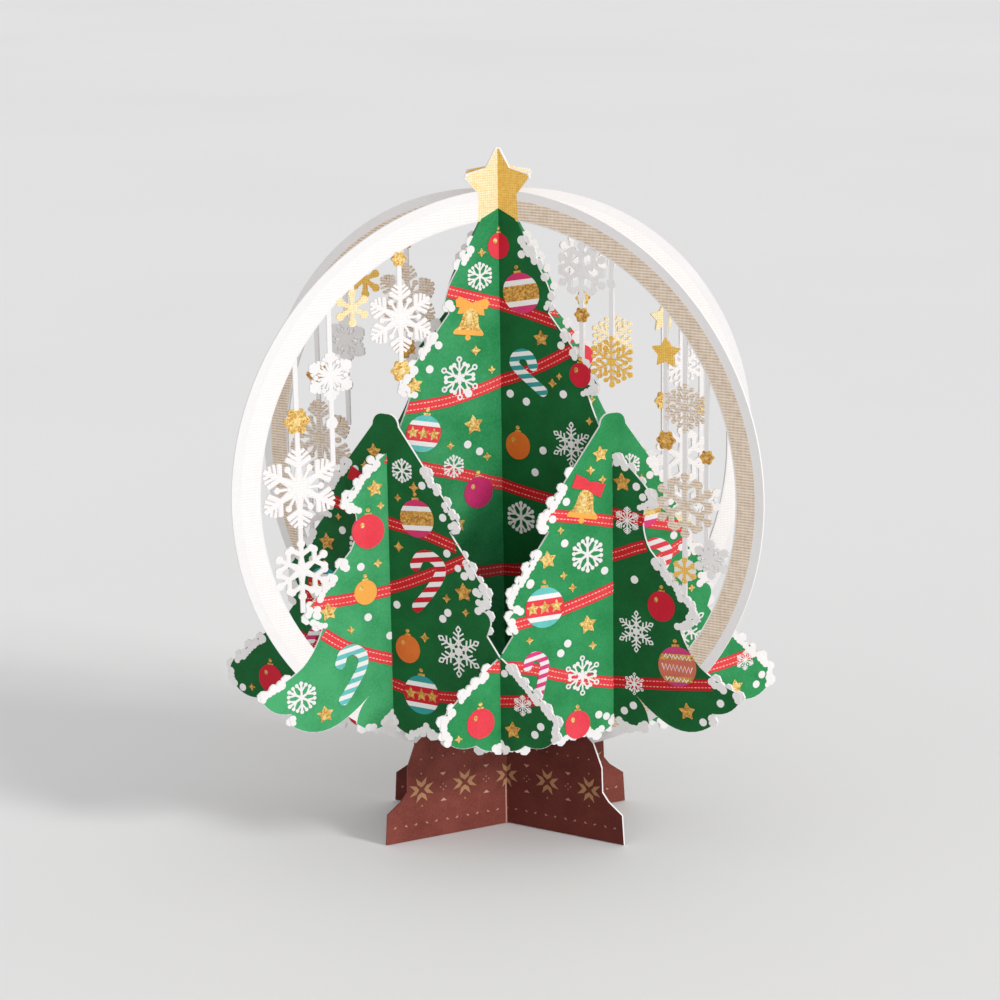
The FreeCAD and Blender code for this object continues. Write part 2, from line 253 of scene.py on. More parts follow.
def press(name, plate, prints):
    """Closed thin films on a plate: each print is an outline, how proud it stands and its finish.

    A film runs through the card and stands proud of both faces, so both faces carry the same print.
    An outline with a hole is given as a pair of outlines with as many points each.
    """
    spine_x, spine_y, turn = PLATES[plate]
    along = Vector((math.cos(turn), math.sin(turn), 0))
    outwards = Vector((math.sin(turn), -math.cos(turn), 0))

    def stand(point, depth):
        place = Vector((spine_x, spine_y, point[1])) + along * point[0] + outwards * depth
        return place / 1000

    mesh = bpy.data.meshes.new(name)
    shell = bmesh.new()
    finishes = []
    for count, (outline, proud, finish) in enumerate(prints):
        # Plates that face away from the lamp swap in the copy with painted shade.
        if plate in SHADED_PLATES:
            finish = PAINTED_SHADE_TWIN.get(finish.name, finish)
        if finish not in finishes:
            finishes.append(finish)
        depth = CARD_HALF + proud + HAIR * (count % HAIR_CYCLE)
        loops = outline if isinstance(outline, tuple) else (outline,)
        walls = []
        for loop in loops:
            front = [shell.verts.new(stand(point, depth)) for point in loop]
            back = [shell.verts.new(stand(point, -depth)) for point in loop]
            walls.append((front, back))
        faces = []
        for front, back in walls:
            for i in range(len(front)):
                faces.append(shell.faces.new((front[i - 1], front[i], back[i], back[i - 1])))
        if len(walls) == 1:
            faces.append(shell.faces.new(walls[0][0]))
            faces.append(shell.faces.new(walls[0][1][::-1]))
        else:
            for side in (0, 1):
                outer, inner = walls[0][side], walls[1][side]
                for i in range(len(outer)):
                    faces.append(shell.faces.new((outer[i - 1], outer[i], inner[i], inner[i - 1])))
        for face in faces:
            face.material_index = finishes.index(finish)
    bmesh.ops.recalc_face_normals(shell, faces=shell.faces[:])
    shell.to_mesh(mesh)
    shell.free()
    for finish in finishes:
        mesh.materials.append(finish)
    piece = bpy.data.objects.new(name, mesh)
    bpy.context.collection.objects.link(piece)
    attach(piece, "root")


def press_all(name, round_prints, small_prints):
    """The same prints on both round plates, and the same on both small trees."""
    for plates, prints in ((ROUND_PLATES, round_prints), (TREE_PLATES, small_prints)):
        for plate in plates:
            press(name + "_" + plate, plate, prints)


def ink(name, colours, painted_shade_colours=None, roughness=0.62, painted_spine_shade=0.0):
    """A printed ink, uneven between two close shades; it may have shade painted in towards the spine, and a
    twin with painted shade.
    """
    material, root = start_finish(name)
    tooth = noise(root, 1800.0, 4.0)
    blotches = noise(root, 130.0, 4.0)
    shade = blotches * 1.2 + tooth * 0.9 - 0.55
    # Painted shade: the colour darkens towards the spine, where the plates shade each other, and pales away
    # from it.
    if painted_spine_shade:
        across = root.node("ShaderNodeSeparateXYZ", {}, {"Vector": object_place(root)})
        shade = shade + (across.math("ABSOLUTE", across, 0.0) * painted_spine_shade - 0.3)
    wire(material, {
        "Base Color": shade.tint(*colours), "Roughness": tooth * 0.2 + (roughness - 0.1),
        "Specular IOR Level": 0.22, "Normal": relief(root, tooth, 0.2, 0.00006),
    })
    # The twin is this ink with painted shade: darker colours for the plates that face away from the lamp.
    if painted_shade_colours:
        PAINTED_SHADE_TWIN[name] = ink(name + "_deep", painted_shade_colours, None, roughness)
    return material


# Copies of the one green print with light and shade painted in: lit for the plate that faces the lamp,
# painted half shade for the lit small tree, painted shade for the two plates that face away.
lit_green = ink("tree_green", ((0.012, 0.235, 0.066), (0.07, 0.42, 0.165)), painted_spine_shade=14.0)
painted_half_shade_green = ink("tree_green_painted_half_shade", ((0.01, 0.21, 0.054), (0.045, 0.37, 0.128)))
painted_shade_green = ink("tree_green_deep", ((0.0005, 0.074, 0.012), (0.003, 0.155, 0.034)))
GREEN_OF = {
    "left_round_plate": lit_green, "right_round_plate": painted_shade_green,
    "left_tree_plate": painted_shade_green, "right_tree_plate": painted_half_shade_green,
}
# Over the hoop's lower edge the green of the big tree spreads into a wider, blunter tip.
TIP_APEX, TIP_SIDE = (0.0, 164.8), ((4.9, 162.4), (6.5, 159.4), (8.4, 156.0), (10.0, 153.2))


def mirrored(points):
    """Points on one side and then, backwards, their mirror images on the other."""
    return [*points, *[(-a, b) for a, b in points[::-1]]]


for plate, sides in SIDES.items():
    greens = [(drawn_in(closed_outline(*sides), WHITE_EDGE), GREEN_PROUD, GREEN_OF[plate])]
    if plate in ROUND_PLATES:
        greens.append(([TIP_APEX, *mirrored(TIP_SIDE)], TIP_PROUD, GREEN_OF[plate]))
    press("green_" + plate, plate, greens)


# The hoop's foil band
# The hoop is white card with a tan linen foil on the inner two thirds of its width, on both faces.
# The foil is embossed with a close weave, whose lines lie level, and leaves a white edge on both sides.

FOIL_INNER, FOIL_OUTER, FOIL_PROUD, FOIL_CORNERS = 66.6, 71.4, 0.02, 160
# The scale at which a wave texture's lines lie 1 mm apart.
LINES_1MM_APART = 314


def round_spot(x, y, radius, count=14, squash=1.0, turn=0.0):
    turns = [turn + math.tau * i / count for i in range(count)]
    return [Vector((x + radius * math.cos(t), y + radius * squash * math.sin(t))) for t in turns]


def weave(root, row_pitch, post_pitch, wobble=0.6):
    """Level rows and upright posts of thread, from 0 to 1, with pitches in millimetres."""
    place = object_place(root)
    rough = {"Vector": place, "Distortion": wobble, "Detail": 2.0, "Detail Scale": 3.0}
    level = {"wave_type": "BANDS", "bands_direction": "Z"}
    upright = {"wave_type": "BANDS", "bands_direction": "X"}
    rows = root.node("ShaderNodeTexWave", level, {**rough, "Scale": LINES_1MM_APART / row_pitch}, "Fac")
    posts = root.node("ShaderNodeTexWave", upright, {**rough, "Scale": LINES_1MM_APART / post_pitch}, "Fac")
    return rows, posts


def linen_foil(name, line, ground):
    """Embossed foil: fine level lines over a woven ground that catches the light unevenly."""
    material, root = start_finish(name)
    rows, posts = weave(root, 0.72, 0.95)
    patches = noise(root, 700.0, 4.0)
    threads = rows * 0.8 + posts * 0.14 + patches * 1.1 - 0.4
    wire(material, {
        "Base Color": threads.tint(line, ground), "Metallic": 0.05, "Roughness": rows * 0.2 + 0.45,
        "Normal": relief(root, rows + posts * 0.5, 0.3, 0.00006),
    })
    return material


# The foil glares white on the plate that faces the lamp, and that glare is painted into a pale copy of it;
# the plate that faces away gets the tan foil.
glare_painted_foil = linen_foil("glare_painted_foil", (0.89, 0.84, 0.81), (0.95, 0.935, 0.92))
tan_foil = linen_foil("tan_foil", (0.57, 0.42, 0.29), (0.93, 0.8, 0.66))
FOIL_OF = {"left_round_plate": glare_painted_foil, "right_round_plate": tan_foil}
for plate in ROUND_PLATES:
    rims = [round_spot(0.0, HOOP_CENTRE, radius, FOIL_CORNERS) for radius in (FOIL_OUTER, FOIL_INNER)]
    press("foil_band_" + plate, plate, [(tuple(rims), FOIL_PROUD, FOIL_OF[plate])])


# The foot print
# The stepped foot is printed brown, like knitted cloth, with a row of eight-pointed tan stars between
# diamonds, and rows of small stitches above and below. It is the same sheet as the hoop and tree.

FOOT_SIDE = ((35.0, 0.0), (34.48, 8.1), (30.45, 11.2), (28.7, 13.5), (28.5, 20.25), (26.1, 26.6),
             (21.0, 31.0))
FOOT_PROUD, KNIT_PROUD = 0.035, 0.05
STAR_STEP, STAR_ROW, STAR_REACH = 12.4, 13.6, 3.4
DIAMOND_ROW, LOW_STITCHES, HIGH_STITCHES = 13.4, 4.3, 22.0
LOW_STEP, HIGH_STEP, SEAM = 2.95, 3.1, (-0.5, 6.2, 0.36, 12.4)
FOUR_SPOTS = ((0, 0.75), (0, -0.75), (0.75, 0), (-0.75, 0))


def placed(points, x, y, turn=0.0, size=1.0):
    """Points about their own middle, turned, made larger and moved."""
    c, s = math.cos(turn) * size, math.sin(turn) * size
    return [Vector((x + a * c - b * s, y + a * s + b * c)) for a, b in points]


def slab(x, y, width, height, turn=0.0):
    """A small rectangle about its middle."""
    return placed(((-width, -height), (-width, height), (width, height), (width, -height)), x, y, turn, 0.5)


def diamond(x, y, width, height, turn=0.0):
    return placed(((-width, 0), (0, height), (width, 0), (0, -height)), x, y, turn, 0.5)


def folk_star(x, y, size):
    """A knitting star: four bent leaves, each a V that opens outwards, round an open cross."""
    leaves = []
    for quarter in range(4):
        along = Vector((math.cos(math.pi / 2 * quarter), math.sin(math.pi / 2 * quarter)))
        across = Vector((-along.y, along.x))
        for side in (1, -1):
            corners = ((0.2, 0.0), (0.44, 0.33), (1.0, 0.46), (0.56, 0.0))
            leaves.append([Vector((x, y)) + (along * a + across * (b * side)) * size for a, b in corners])
    return leaves


# How far the brown stops short of the cut edge. Below zero it wraps round the edge and hides it.
FOOT_EDGE_OF = {"left_round_plate": -0.05, "right_round_plate": 0.03}
# The second colours of each ink here are its twin with painted shade, for the plate that faces away from the
# lamp.
brown_ink = ink("foot_brown", ((0.142, 0.029, 0.021), (0.31, 0.082, 0.06)),
                ((0.074, 0.009, 0.006), (0.165, 0.032, 0.022)), 0.7)
tan_ink = ink("stitch_tan", ((0.42, 0.21, 0.1), (0.62, 0.35, 0.18)),
              ((0.28, 0.13, 0.055), (0.44, 0.23, 0.11)), 0.6)
pale_tan_ink = ink("stitch_pink", ((0.5, 0.26, 0.19), (0.7, 0.42, 0.33)),
                   ((0.34, 0.15, 0.1), (0.5, 0.26, 0.18)), 0.6)
foot_outline = [Vector(corner) for corner in mirrored(FOOT_SIDE[::-1])]
knits = [(slab(*SEAM), pale_tan_ink)]
for place in range(-2, 3):
    x = place * STAR_STEP
    tips = [diamond(x, STAR_ROW + up, 0.55, 0.6) for up in (-4.5, 4.5)]
    knits += [(shape, tan_ink) for shape in folk_star(x, STAR_ROW, STAR_REACH) + tips]
for place in (-1.5, -0.5, 0.5, 1.5):
    x = place * STAR_STEP
    shapes = [diamond(x + a, DIAMOND_ROW + b, 0.42, 0.42) for a, b in FOUR_SPOTS]
    for up, tip in ((-3.9, 0.9), (4.0, -0.9)):
        shapes.append(placed(((-0.9, 0), (0, 0.9 * tip), (0.9, 0)), x, DIAMOND_ROW + up))
    knits += [(shape, pale_tan_ink) for shape in shapes]
for column in range(-11, 12):
    lean = 0.3 * (-1) ** column
    x = column * LOW_STEP
    knits.append((diamond(x, LOW_STITCHES, 0.5, 0.62, lean), pale_tan_ink))
    knits.append((diamond(x + lean, LOW_STITCHES - 0.2, 0.62, 0.26, lean), pale_tan_ink))
    if abs(column) < 9:
        knits.append((diamond(column * HIGH_STEP, HIGH_STITCHES, 0.62, 0.4, lean), pale_tan_ink))
foot_prints = [(shape, KNIT_PROUD, finish) for shape, finish in knits]
for plate in ROUND_PLATES:
    whole = (drawn_in(foot_outline, FOOT_EDGE_OF[plate]), FOOT_PROUD, brown_ink)
    press("foot_print_" + plate, plate, [whole] + foot_prints)


# The star on top
# The star is part of the round sheets, faced with gold linen foil. Its top and sides have a thin white
# cut edge, and below it the foil carries on down to the top of the tree.

STAR_MIDDLE, STAR_RADIUS, STAR_BORDER = 170.4, 9.6, 0.2
SKIRT_PROUD, STAR_PROUD = 0.028, 0.034


def star(x, y, radius, inner=0.5, turn=0.0, blunt=0.06):
    """A five-pointed star whose points are a little blunt."""
    points = []
    for i in range(5):
        tip = math.radians(90 + 72 * i) + turn
        for step, reach in ((-blunt, 0.95), (0.0, 1.0), (blunt, 0.95), (math.radians(36), inner)):
            reach *= radius
            points.append(Vector((x + reach * math.cos(tip + step), y + reach * math.sin(tip + step))))
    return points


def gold_linen(name, dark, light):
    """Gold foil embossed like linen, with threads both ways."""
    material, root = start_finish(name)
    rows, posts = weave(root, 0.62, 0.52, 3.0)
    grains = noise(root, 1100.0, 4.0)
    threads = rows * 0.45 + posts * 0.4 + grains * 1.3 - 0.6
    wire(material, {
        "Base Color": threads.tint(dark, light), "Metallic": 0.15,
        "Roughness": grains * 0.3 + 0.3, "Normal": relief(root, rows + posts, 0.4, 0.0001),
    })
    return material


# The gold foil glares pale on the plate that faces the lamp, and that glare is painted into a pale copy of
# it; the plate that faces away gets the warm gold.
glare_painted_gold = gold_linen("gold_linen_painted_glare", (0.94, 0.68, 0.26), (1.0, 0.93, 0.68))
warm_gold = gold_linen("gold_linen_warm", (0.84, 0.4, 0.045), (1.0, 0.72, 0.16))
GOLD_OF = {"left_round_plate": glare_painted_gold, "right_round_plate": warm_gold}
star_middle = Vector((0, STAR_MIDDLE))
star_foil = [corner + (star_middle - corner).normalized() * STAR_BORDER
             for corner in star(*star_middle, STAR_RADIUS, 0.62, 0.0, 0.07)]
SKIRT_SIDE, SKIRT_FOOT = ((-6.0, 161.9), (-5.0, 166.4), (-5.6, 170.0)), (0.0, 162.0)
star_skirt = [*mirrored(SKIRT_SIDE), SKIRT_FOOT]
for plate in ROUND_PLATES:
    foil = GOLD_OF[plate]
    press("star_foil_" + plate, plate, [(star_skirt, SKIRT_PROUD, foil), (star_foil, STAR_PROUD, foil)])


# The ribbons
# Red ribbons are printed across each tree, a little darker along both edges, with two rows of gold stitches.
# They sag between the branches and pass under all the other ornaments.

RIBBON_WIDTH, BORDER_SHARE = 3.1, 0.84
STITCH_ASIDE, STITCH_STEP, STITCH_LONG, STITCH_HIGH = 0.72, 0.98, 0.6, 0.24
RIBBON_PROUD, BORDER_PROUD, STITCH_PROUD = 0.08, 0.1, 0.12
ROUND_RIBBONS = (
    ((-14.5, 144.9), (-8.0, 142.8), (0.0, 140.4), (9.0, 138.6), (17.0, 136.7)),
    ((-26.8, 116.2), (-14.3, 116.9), (0.0, 120.4), (11.5, 125.2), (22.6, 131.4)),
    ((-32.4, 104.2), (-21.6, 100.0), (-10.5, 96.8), (0.0, 93.2), (16.0, 90.6), (31.0, 89.4), (42.0, 88.6)),
    ((-54.4, 68.6), (-44.5, 68.4), (-32.0, 69.2), (-15.0, 70.5), (3.6, 70.6), (18.0, 74.0),
     (32.0, 78.2), (38.7, 81.0), (41.5, 82.0)),
    ((-50.8, 60.3), (-43.6, 55.3), (-32.0, 50.6), (-16.0, 46.2), (0.0, 44.0), (16.0, 43.6),
     (31.6, 44.5), (46.7, 46.1), (60.0, 48.0)),
)
SMALL_RIBBONS = (
    ((-18.9, 91.3), (-9.3, 89.4), (0.0, 87.2), (10.4, 85.6), (20.4, 83.0)),
    ((-27.6, 63.8), (-16.5, 65.6), (0.0, 69.8), (11.6, 74.7), (23.6, 80.6)),
    ((-40.0, 55.0), (-25.1, 52.0), (-13.9, 48.1), (0.0, 44.2), (10.8, 42.7), (21.5, 43.4),
     (32.3, 44.4), (44.6, 46.8)),
)


def smooth_run(knots, steps=8):
    """A smooth run of points through the knots."""
    knots = [Vector(k) for k in knots]
    run = []
    for i in range(len(knots) - 1):
        before, start, end = knots[max(i - 1, 0)], knots[i], knots[i + 1]
        after = knots[min(i + 2, len(knots) - 1)]
        for step in range(steps):
            t = step / steps
            run.append(0.5 * (2 * start + (end - before) * t
                              + (2 * before - 5 * start + 4 * end - after) * t * t
                              + (3 * start - before - 3 * end + after) * t * t * t))
    return run + [knots[-1]]


def beside(run, distance):
    """The run moved sideways, to the left of its direction for a positive distance."""
    moved = []
    for i, here in enumerate(run):
        way = (run[min(i + 1, len(run) - 1)] - run[max(i - 1, 0)]).normalized()
        moved.append(here + Vector((-way.y, way.x)) * distance)
    return moved


def strip(run, low, high):
    """The closed outline between two sideways moves of a run."""
    return beside(run, low) + beside(run, high)[::-1]


def along_run(run, spacing, bare=0.0):
    """Places and directions at even steps along a run, after a bare length of it."""
    places = []
    left = bare + spacing / 2
    for start, end in zip(run, run[1:]):
        length = (end - start).length
        while left < length:
            way = (end - start) / length
            places.append((start + way * left, math.atan2(way.y, way.x)))
            left += spacing
        left -= length
    return places


def inside(point, outline):
    """Whether a point lies inside a closed outline."""
    within = False
    for start, end in zip(outline, outline[1:] + outline[:1]):
        if (start.y > point.y) != (end.y > point.y):
            if point.x < start.x + (end.x - start.x) * (point.y - start.y) / (end.y - start.y):
                within = not within
    return within


HALVINGS = 12


def trimmed(line, outline):
    """The stretch of a line between the places where it crosses a closed outline."""
    kept = [i for i, point in enumerate(line) if inside(point, outline)]
    stretch = line[kept[0]:kept[-1] + 1]
    for end, beyond in ((kept[0], kept[0] - 1), (kept[-1], kept[-1] + 1)):
        if not 0 <= beyond < len(line):
            continue
        near, far = line[end], line[beyond]
        for _ in range(HALVINGS):
            middle = (near + far) / 2
            if inside(middle, outline):
                near = middle
            else:
                far = middle
        stretch.insert(0 if beyond < end else len(stretch), near)
    return stretch


def ribbon(knots, outline):
    """A ribbon through the knots that ends where the tree does."""
    run = smooth_run(knots)
    half = RIBBON_WIDTH / 2
    border = half * BORDER_SHARE
    bands = ((-half, half, RIBBON_PROUD, ribbon_red), (-half, -border, BORDER_PROUD, ribbon_edge),
             (border, half, BORDER_PROUD, ribbon_edge))
    prints = []
    for low, high, proud, finish in bands:
        sides = [trimmed(beside(run, distance), outline) for distance in (low, high)]
        prints.append((sides[0] + sides[1][::-1], proud, finish))
    for aside in (-STITCH_ASIDE, STITCH_ASIDE):
        for place, turn in along_run(beside(run, aside), STITCH_STEP):
            if inside(place, outline):
                prints.append((slab(*place, STITCH_LONG, STITCH_HIGH, turn), STITCH_PROUD, stitch_gold))
    return prints


def glitter(name, colours, painted_shade_colours=None):
    """Gold glitter foil: close grains, each of its own brightness and tilt."""
    material, root = start_finish(name)
    grain = root.node("ShaderNodeTexVoronoi", {}, {"Vector": object_place(root), "Scale": 2400.0}, "Color")
    spark = root.node("ShaderNodeSeparateColor", {}, {"Color": grain})
    tilt = root.node("ShaderNodeSeparateColor", {}, {"Color": grain}, "Green")
    clump = noise(root, 600.0)
    wire(material, {
        "Base Color": (spark + clump * 0.9 - 0.4).tint(*colours), "Metallic": 0.2,
        "Roughness": tilt * 0.4 + 0.25, "Normal": relief(root, tilt, 0.6, 0.00012),
    })
    # The twin is this glitter with painted shade: darker colours for the plates that face away from the
    # lamp.
    if painted_shade_colours:
        PAINTED_SHADE_TWIN[name] = glitter(name + "_deep", painted_shade_colours)
    return material


# The second colours of each ink and glitter here are its twin with painted shade, for the plates that face
# away from the lamp.
ribbon_red = ink("ribbon_red", ((0.74, 0.03, 0.05), (0.9, 0.075, 0.095)),
                 ((0.5, 0.002, 0.01), (0.66, 0.008, 0.026)), 0.5)
ribbon_edge = ink("ribbon_edge", ((0.66, 0.016, 0.032), (0.82, 0.045, 0.062)),
                  ((0.4, 0.001, 0.006), (0.54, 0.004, 0.016)), 0.5)
gold_glitter = glitter("gold_glitter", ((0.56, 0.22, 0.02), (1.0, 0.78, 0.26)),
                       ((0.34, 0.13, 0.012), (0.86, 0.48, 0.09)))
stitch_gold = glitter("stitch_gold", ((0.86, 0.36, 0.18), (1.0, 0.8, 0.52)),
                      ((0.7, 0.2, 0.09), (0.98, 0.52, 0.3)))
for plates, ribbons in ((ROUND_PLATES, ROUND_RIBBONS), (TREE_PLATES, SMALL_RIBBONS)):
    for plate in plates:
        outline = drawn_in(closed_outline(*SIDES[plate]), WHITE_EDGE)
        press("ribbons_" + plate, plate, [part for knots in ribbons for part in ribbon(knots, outline)])


# Snow on the branches
# White rounds of card stand along the undersides of the tiers, cut with the tree so that the snow makes
# its edge bumpy, and printed rounds fall between the ornaments.

SNOW_STEP, SNOW_PROUD, DOT_RADIUS = 2.5, 0.13, 1.05
CLUMP_SHARE, FALLING_SHARE, SNOW_SEED = 0.82, 0.14, 11


ROUND_DOTS = (
    (-17.3, 131.4), (-19.9, 125.5), (-9.3, 118.1), (-9.8, 104.8), (-6.5, 102.6), (6.7, 153.5),
    (9.6, 155.0), (13.2, 148.2), (15.1, 143.5), (17.8, 131.2), (2.9, 117.3), (7.6, 115.7),
    (18.3, 118.7), (12.3, 103.4), (9.9, 97.4), (33.3, 102.7), (38.9, 97.1), (38.3, 72.7),
    (35.3, 37.2), (37.9, 39.0), (62.5, 43.5), (57.7, 37.7), (-42.6, 91.8), (-40.1, 76.5),
    (-38.5, 62.9), (-44.1, 76.8), (-32.6, 57.1), (-36.5, 104.0),
)
SMALL_DOTS = (
    (-13.8, 83.3), (-2.6, 74.6), (-17.1, 90.0), (-23.4, 74.2), (-13.2, 56.8), (-15.2, 54.5),
    (-4.5, 36.3), (2.1, 65.6), (17.2, 65.6), (15.7, 63.8), (17.3, 81.2), (16.3, 90.4),
    (10.4, 98.0), (-47.0, 35.6), (42.0, 37.1), (43.7, 39.5), (26.6, 38.4), (18.0, 36.8),
)


def snow_rounds(sides, seed):
    """Clumps of rounds along the snowy edges of a tree, and a few that have fallen further in."""
    chance = random.Random(seed)
    rounds = []
    for side, inwards_sign in ((sides[0], 1), (sides[1], -1)):
        for run, bare_share in side:
            length = sum((end - start).length for start, end in zip(run, run[1:]))
            for place, turn in along_run(run, SNOW_STEP, bare_share * length):
                inwards = Vector((math.sin(turn), -math.cos(turn))) * inwards_sign
                at = place + inwards * chance.uniform(0.1, 0.9)
                if chance.random() < CLUMP_SHARE:
                    rounds.append(round_spot(at.x, at.y, chance.uniform(0.85, 1.25)))
                    at_side = at + Vector((math.cos(turn), math.sin(turn))) * 1.15 + inwards * 0.35
                    rounds.append(round_spot(at_side.x, at_side.y, chance.uniform(0.7, 1.05)))
                if chance.random() < FALLING_SHARE:
                    at += inwards * chance.uniform(2.0, 3.0)
                    rounds.append(round_spot(at.x, at.y, chance.uniform(0.85, 1.1)))
    return rounds


snow_ink = ink("snow_white", ((0.82, 0.805, 0.79), (0.94, 0.925, 0.91)), None, 0.7)
for plates, dots in ((ROUND_PLATES, ROUND_DOTS), (TREE_PLATES, SMALL_DOTS)):
    for plate in plates:
        spots = snow_rounds(SIDES[plate], SNOW_SEED) + [round_spot(x, y, DOT_RADIUS) for x, y in dots]
        press("snow_" + plate, plate, [(spot, SNOW_PROUD, snow_ink) for spot in spots])


# Printed snowflakes
# White six-armed snowflakes of four common kinds are printed on the green, some over a ribbon.
# Each is thin bars with side branches, ending in knobs, diamonds or points. The hangings have more kinds.

def arm_parts(kind):
    """One arm of a unit snowflake along +x: bars (ends and width) and spots (place, radius, sides, hole)."""
    bars, spots = [], []
    if kind == "knob":
        bars = [(0.1, 0, 0.86, 0, 0.14), (0.38, 0, 0.72, 0.25, 0.11), (0.38, 0, 0.72, -0.25, 0.11)]
        spots = [(0.87, 0, 0.125, 10, 0), (0.76, 0.28, 0.115, 10, 0), (0.76, -0.28, 0.115, 10, 0)]
    elif kind == "feather":
        bars = [(0.1, 0, 1.0, 0, 0.1)]
        for foot, reach in ((0.5, 0.38), (0.66, 0.3), (0.8, 0.2)):
            bars += [(foot, 0, foot + reach * 0.62, side * reach * 0.8, 0.07) for side in (-1, 1)]
        bars.append((0.18, 0.104, 0.44, 0.254, 0.065))
        spots = [(0.47, 0.271, 0.078, 10, 0)]
    elif kind == "lobe":
        bars = [(0.1, 0, 0.9, 0, 0.13), (0.5, 0, 0.68, 0.31, 0.12), (0.5, 0, 0.68, -0.31, 0.12)]
        spots = [(0.88, 0, 0.135, 12, 0), (0.71, 0.34, 0.12, 12, 0), (0.71, -0.34, 0.12, 12, 0)]
    elif kind == "diamond":
        bars = [(0.1, 0, 0.8, 0, 0.07)]
        for foot, reach, width in ((0.38, 0.24, 0.07), (0.58, 0.22, 0.06)):
            bars += [(foot, 0, foot + reach * 0.7, side * reach, width) for side in (-1, 1)]
        for side in (-1, 1):
            bars += [(0.74, 0, 0.86, side * 0.1, 0.055), (0.86, side * 0.1, 1.0, 0, 0.055)]
            bars.append((0.46, 0, 0.25, side * 0.144, 0.06))
        spots = [(0.27, 0, 0.09, 4, 0)]
    elif kind == "petal":
        bars = [(0.1, 0, 0.62, 0, 0.15)]
        bars += [(0.22, side * 0.082, 0.5, side * 0.172, 0.075) for side in (-1, 1)]
        spots = [(0.74, 0, 0.235, 6, 0), (0.52, 0.3, 0.1, 8, 0)]
    elif kind == "club":
        bars = [(0.1, 0, 0.7, 0, 0.22)]
        spots = [(0.76, 0, 0.21, 12, 0), (0.5, 0, 0.14, 10, 0)]
    elif kind == "spray":
        bars = [(0.1, 0, 0.88, 0, 0.085)]
        for foot, reach in ((0.3, 0.26), (0.56, 0.24)):
            for side in (-1, 1):
                bars.append((foot, 0, foot + reach * 0.72, side * reach, 0.075))
                spots.append((foot + reach * 0.8, side * reach * 1.1, 0.085, 8, 0))
        spots.append((0.91, 0, 0.1, 10, 0))
    else:
        bars = [(0.1, 0, 0.76, 0, 0.09), (0.3, 0, 0.56, 0.2, 0.08), (0.3, 0, 0.56, -0.2, 0.08)]
        spots = [(0.86, 0, 0.14, 12, 0.065), (0.62, 0.25, 0.105, 10, 0), (0.62, -0.25, 0.105, 10, 0),
                 (0.2, 0, 0.09, 10, 0)]
    return bars, spots


def snowflake(x, y, radius, kind, stout=1.0):
    """The outlines of all parts of a snowflake, one arm upright."""
    bars, spots = arm_parts(kind)
    parts = [round_spot(x, y, 0.17 * radius * stout, 12)]
    for i in range(6):
        angle = math.radians(90 + 60 * i)
        for x0, y0, x1, y1, width in bars:
            ends = placed(((x0, y0), (x1, y1)), x, y, angle, radius)
            half = width * stout * radius / 2
            parts.append(strip(ends, -half, half))
        for x0, y0, size, sides, hole in spots:
            middle = placed(((x0, y0),), x, y, angle, radius)[0]
            spot = round_spot(*middle, size * radius * stout, sides, 1.0, angle)
            parts.append((spot, round_spot(*middle, hole * radius, sides)) if hole else spot)
    return parts


ROUND_FLAKES = (
    (-5.6, 147.9, 3.7, "knob"), (-11.7, 122.3, 5.7, "round"), (-13.8, 99.5, 3.1, "knob"),
    (20.5, 105.9, 5.8, "diamond"), (5.6, 84.9, 4.4, "knob"), (-57.3, 44.3, 4.4, "knob"),
    (36.3, 88.0, 3.6, "feather"), (38.2, 44.9, 3.0, "round"), (38.8, 59.0, 5.5, "diamond"),
)
SMALL_FLAKES = (
    (-7.4, 79.5, 4.8, "knob"), (-9.1, 47.6, 5.4, "round"), (4.6, 101.2, 3.2, "knob"),
    (20.2, 55.7, 6.8, "diamond"), (38.6, 44.3, 2.8, "feather"),
)
FLAKE_PROUD = 0.15


def flake_prints(flakes):
    return [(part, FLAKE_PROUD, snow_ink) for flake in flakes for part in snowflake(*flake)]


press_all("snowflakes", flake_prints(ROUND_FLAKES), flake_prints(SMALL_FLAKES))


# Baubles
# Round tree balls are printed in one colour, or striped across, each with a gold cap and a gold glint.
# They lie over the ribbons. The large ones have slanted stripes of foil and ink, and stars or a zigzag.

def slice_of(x, y, radius, low, high, turn, count=14):
    """The part of a disc between two parallel lines, as shares of its radius from the middle."""
    start, end = math.asin(low), math.asin(high)
    turns = [start + (end - start) * i / count for i in range(count + 1)]
    return placed(mirrored([(math.cos(t), math.sin(t)) for t in turns]), x, y, turn, radius)


def cap(x, y, radius, turn):
    """The gold cap and its eye, on top of a ball."""
    up = Vector((-math.sin(turn), math.cos(turn)))
    base = Vector((x, y)) + up * radius * 1.02
    eye = base + up * (0.9 + radius * 0.08)
    width = 0.9 + radius * 0.22
    return [slab(base.x, base.y, width, 0.9, turn), round_spot(eye.x, eye.y, 0.55, 10)]


# The second colours of each ink here are its twin with painted shade, for the plates that face away from the
# lamp.
red_ball = ink("ball_red", ((0.78, 0.03, 0.055), (0.9, 0.08, 0.11)),
               ((0.52, 0.002, 0.016), (0.68, 0.01, 0.04)), 0.4)
magenta_ball = ink("ball_magenta", ((0.55, 0.02, 0.13), (0.74, 0.05, 0.215)),
                   ((0.5, 0.03, 0.14), (0.66, 0.06, 0.215)), 0.4)
orange_ball = ink("ball_orange", ((0.86, 0.24, 0.035), (0.95, 0.36, 0.07)),
                  ((0.64, 0.12, 0.012), (0.82, 0.2, 0.028)), 0.4)
amber_ball = ink("ball_amber", ((0.9, 0.38, 0.06), (0.98, 0.52, 0.11)),
                 ((0.74, 0.24, 0.035), (0.86, 0.34, 0.06)), 0.4)
teal_ink = ink("teal", ((0.08, 0.46, 0.43), (0.19, 0.66, 0.6)),
               ((0.012, 0.25, 0.25), (0.04, 0.36, 0.34)), 0.5)
